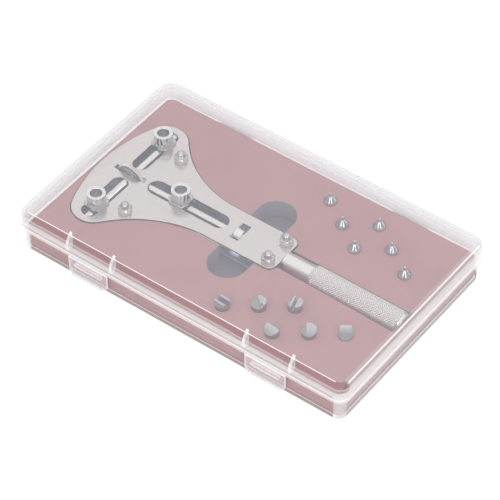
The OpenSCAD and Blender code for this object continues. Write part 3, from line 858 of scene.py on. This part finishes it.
def thread(bm, place, h0, h1, hand=1):
    """A V-thread from h0 to h1, left-handed if hand is -1, that runs out over a turn at each end."""
    segments = 32
    steps = int((h1 - h0) / PITCH * segments)
    # crest, flank and root across one pitch: (share of the pitch, share of the depth)
    shape = ((0.0, 0.0), (0.12, 0.0), (0.5, 1.0), (0.62, 1.0))
    sections = []
    for i in range(steps + 1):
        t = 2 * math.pi * i / segments
        h = h0 + (i / segments) * PITCH
        fade = min(1.0, i / segments, (steps - i) / segments)
        section = []
        for along, deep in shape:
            r = SCREW_R - THREAD_DEPTH * deep * fade
            co = place(r * math.cos(hand * t), r * math.sin(hand * t), min(h + along * PITCH, h1))
            section.append(bm.verts.new(co))
        sections.append(section)
    for i in range(steps):
        a, b = sections[i], sections[i + 1]
        for k in range(3):
            bm.faces.new((a[k], a[k + 1], b[k + 1], b[k]))
        if i + segments < steps:
            c, d = sections[i + segments], sections[i + segments + 1]
            bm.faces.new((a[3], c[0], d[0], b[3]))


def cross_screw_piece():
    """Right-hand and left-hand threads between two journals, with the wheel's seat in the middle."""
    lo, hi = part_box("cross_screw")
    place = along_y((lo.x + hi.x) / 2, (lo.z + hi.z) / 2)
    bm = bmesh.new()
    end, seat, seat_full = 37.2 * MM, 4 * MM, 3.9 * MM
    tip, shoulder, edge = 0.2 * MM, 0.05 * MM, 0.1 * MM
    lathe(bm, [(0, lo.y), (JOURNAL_R - tip, lo.y), (JOURNAL_R, lo.y + tip), (JOURNAL_R, -end),
               (CORE_R, -end + shoulder), (CORE_R, end - shoulder), (JOURNAL_R, end),
               (JOURNAL_R, hi.y - tip), (JOURNAL_R - tip, hi.y), (0, hi.y)], place, 40, close=False)
    lathe(bm, [(CORE_R - edge, -seat), (SCREW_R - edge, -seat), (SCREW_R, -seat_full),
               (SCREW_R, seat_full), (SCREW_R - edge, seat), (CORE_R - edge, seat)], place, 40)
    thread(bm, place, -end, -seat_full, 1)
    thread(bm, place, seat_full, end, -1)
    return add(finish_mesh("cross_screw_threaded", bm, ("polish",), 50), "wheel", "plain_steel",
               "cross_screw")


def lead_screw_piece():
    """A journal at the head end, the thread, and a plain shank inside the sleeve and the handle."""
    lo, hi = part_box("lead_screw")
    place = along_x(0, AXIS_Z)
    bm = bmesh.new()
    journal_end = -63.8 * MM
    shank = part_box("handle_sleeve")[0].x
    tip, shoulder, run_on = 0.2 * MM, 0.05 * MM, 0.5 * MM
    lathe(bm, [(0, lo.x), (JOURNAL_R - tip, lo.x), (JOURNAL_R, lo.x + tip), (JOURNAL_R, journal_end),
               (CORE_R, journal_end + shoulder), (CORE_R, shank), (SCREW_R, shank),
               (SCREW_R, hi.x - tip), (SCREW_R - tip, hi.x), (0, hi.x)], place, 40, close=False)
    thread(bm, place, journal_end, shank + run_on)
    return add(finish_mesh("lead_screw_threaded", bm, ("polish",), 50), "handle", "plain_steel",
               "lead_screw")


def cap_nut(bm, place):
    """One acorn nut: a chamfered hexagon under a dome, with a blind hole from below."""
    segments = 48
    hex_h, flats, hole_r = 2.6 * MM, 3.3 * MM, 1.53 * MM
    foot_r, corner_r, top_r, neck_r = 3.35 * MM, 3.9 * MM, 2.95 * MM, 2.45 * MM
    foot_cut, top_cut, neck_h = 0.25 * MM, 0.55 * MM, 0.1 * MM
    dome_r, dome_z = 2.4 * MM, hex_h + 0.9 * MM

    def row_of(points):
        return [bm.verts.new(co) for co in points]

    def hexagon(reach, h):
        """The hexagon's outline at height h, with what lies beyond reach turned off."""
        points = []
        for i in range(segments):
            t = 2 * math.pi * i / segments
            r = min(reach, flats / math.cos(t % (math.pi / 3) - math.pi / 6))
            points.append(place(r * math.cos(t), r * math.sin(t), h))
        return points

    rows = [row_of(hexagon(reach, h))
            for reach, h in ((hole_r, 0), (foot_r, 0), (corner_r, foot_cut),
                             (corner_r, hex_h - top_cut), (top_r, hex_h), (neck_r, hex_h + neck_h))]
    for degrees in (0, 20, 40, 60, 78):
        a = math.radians(degrees)
        rows.append(row_of(circle(place, dome_r * math.cos(a), dome_z + dome_r * math.sin(a), segments)))
    for a, b in zip(rows, rows[1:]):
        bridge(bm, a, b)
    top = bm.verts.new(place(0, 0, dome_z + dome_r))
    for i in range(segments):
        bm.faces.new((rows[-1][i], rows[-1][(i + 1) % segments], top))
    hole_end = row_of(circle(place, hole_r, hex_h + 0.05 * MM, segments))
    bridge(bm, hole_end, rows[0])
    bm.faces.new(hole_end)


def cap_nut_piece():
    """The four acorn nuts, one on each plate screw."""
    bm = bmesh.new()
    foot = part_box("cap_nuts")[0].z
    lo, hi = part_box("plate_screws")
    head_r, head_y, tail_y = 2.8 * MM, 23 * MM, 7.7 * MM
    for x, y in ((lo.x + head_r, head_y), (hi.x - head_r, tail_y)):
        for side in (1, -1):
            cap_nut(bm, up(x, side * y, foot))
    return add(finish_mesh("acorn_nuts", bm, ("nut",), 24), "case", "polished_steel", "cap_nuts")


def dress(node, key, width, degrees=35):
    """Gives a CAD node its material, and a small bevel on its edges."""
    ob = NODES[node]
    ob.data.materials.clear()
    ob.data.materials.append(MAT[key])
    weld = ob.modifiers.new("weld", "WELD")
    weld.merge_threshold = 0.002 * MM
    flat = ob.modifiers.new("flat", "DECIMATE")
    flat.decimate_type = "DISSOLVE"
    flat.angle_limit = math.radians(0.8)
    soften(ob, width, 2, degrees)
    normals = ob.modifiers.new("normals", "WEIGHTED_NORMAL")
    normals.keep_sharp = False


def dress_all():
    """Materials and edge rounds of the CAD nodes that carry over."""
    dress("top_plate", "plate", 0.16 * MM)
    dress("bottom_plate", "plate_low", 0.16 * MM)
    for node in ("plate_screws", "nut_washers", "spacer_tubes", "tail_block", "front_bearing",
                 "cross_bearings", "jaw_block_a", "jaw_block_b", "jaw_block_c", "thrust_washer",
                 "hinge_pins"):
        dress(node, "plain", 0.1 * MM)
    for node in ("handle_sleeve", "thrust_collar", "handle_cap"):
        dress(node, "polish", 0.14 * MM)
    for node in ("jaw_socket_a", "jaw_socket_b", "jaw_socket_c"):
        dress(node, "chrome", 0.14 * MM)
    dress("collar_screw", "dark", 0.06 * MM)
    for i in range(1, 7):
        dress("pin_bit_%d" % i, "bit", 0.06 * MM, 50)
        dress("blade_bit_%d" % i, "cut", 0.1 * MM)


# ---------------------------------------------------------------- stage, light and camera
AZIMUTH = math.radians(36.723)
ELEVATION = math.radians(45.859)
DISTANCE = 1.32779
FOCAL_PX = 2643.36
FRAME_PX = 500
SENSOR = 36.0
AIM_UP = 5.19 * MM
AIM_RIGHT = -0.31 * MM
LIGHT_FAR = 1.6
FLOOR_HALF = 4.0


def bearing(azimuth, elevation):
    """Unit vector from the case towards a bearing and a height, both in radians."""
    flat = math.cos(elevation)
    return Vector((math.sin(azimuth) * flat, -math.cos(azimuth) * flat, math.sin(elevation)))


def stage_floor():
    """A plain pale floor, bright enough to fade into the background."""
    bm = bmesh.new()
    bmesh.ops.create_grid(bm, x_segments=8, y_segments=8, size=FLOOR_HALF)
    mesh = bpy.data.meshes.new("studio_floor")
    bm.to_mesh(mesh)
    bm.free()
    ob = bpy.data.objects.new("studio_floor", mesh)
    SCENE.collection.objects.link(ob)
    m, nt, bsdf = new_material("floor_white")
    bsdf.inputs["Base Color"].default_value = (0.28, 0.28, 0.28, 1)
    bsdf.inputs["Roughness"].default_value = 0.9
    bsdf.inputs["Specular IOR Level"].default_value = 0.1
    bsdf.inputs["Emission Color"].default_value = (1, 1, 1, 1)
    bsdf.inputs["Emission Strength"].default_value = 0.8
    mesh.materials.append(m)


def world_light():
    """Soft surroundings: grey low down, white from above halfway up."""
    world = bpy.data.worlds.new("studio")
    SCENE.world = world
    world.use_nodes = True
    nt = world.node_tree
    nt.nodes.clear()
    out = nt.nodes.new("ShaderNodeOutputWorld")
    sky = nt.nodes.new("ShaderNodeBackground")
    tc = nt.nodes.new("ShaderNodeTexCoord")
    split = nt.nodes.new("ShaderNodeSeparateXYZ")
    nt.links.new(tc.outputs["Generated"], split.inputs[0])
    tone = ramp(nt, split.outputs["Z"], [(0.0, (0.30, 0.31, 0.34)), (0.42, (0.40, 0.41, 0.43)),
                                         (0.62, (0.92, 0.92, 0.92)), (0.95, (1.0, 1.0, 1.0))])
    nt.links.new(tone, sky.inputs["Color"])
    sky.inputs["Strength"].default_value = 1.06
    nt.links.new(sky.outputs[0], out.inputs[0])


def softbox(name, turn, rise, size, watts):
    """A softbox aimed at the case. turn is its bearing to the right of the camera, in degrees."""
    data = bpy.data.lights.new(name, "AREA")
    data.shape = "RECTANGLE"
    data.size, data.size_y = size
    data.energy = watts
    ob = bpy.data.objects.new(name, data)
    place = bearing(AZIMUTH + math.radians(turn), math.radians(rise)) * LIGHT_FAR
    ob.location = place
    ob.rotation_euler = (-place).to_track_quat("-Z", "Y").to_euler()
    SCENE.collection.objects.link(ob)


def softboxes():
    """Two upright strips either side of the camera, and a weak fill from the right."""
    strip = (0.22, 0.65)
    softbox("strip_left", -26, 30, strip, 3.6)
    softbox("strip_right", 26, 30, strip, 3.6)
    softbox("side_right", 100, 10, (0.5, 0.5), 1.2)


def camera():
    """The photo's camera: its bearing, distance and focal length, and where it aims."""
    back = bearing(AZIMUTH, ELEVATION)
    right = Vector((math.cos(AZIMUTH), math.sin(AZIMUTH), 0))
    upward = back.cross(right)
    data = bpy.data.cameras.new("photo_view")
    data.sensor_width = SENSOR
    data.lens = SENSOR * FOCAL_PX / FRAME_PX
    data.clip_start, data.clip_end = 0.05, 20
    ob = bpy.data.objects.new("photo_view", data)
    turn = Matrix((right, upward, back)).transposed().to_4x4()
    place = back * DISTANCE + upward * AIM_UP + right * AIM_RIGHT
    ob.matrix_world = Matrix.Translation(place) @ turn
    SCENE.collection.objects.link(ob)
    SCENE.camera = ob


def look():
    """Plain colours, and enough steps through clear walls."""
    SCENE.view_settings.view_transform = "Standard"
    SCENE.view_settings.look = "None"
    SCENE.cycles.transparent_max_bounces = 32


camera()
look()
stage_floor()
world_light()
softboxes()
lid_piece()
lid_ribs()
base_piece()
for side in ("left", "right"):
    latch_piece(side)
foam_piece()
grip_piece()
wheel_piece()
cross_screw_piece()
lead_screw_piece()
cap_nut_piece()
dress_all()
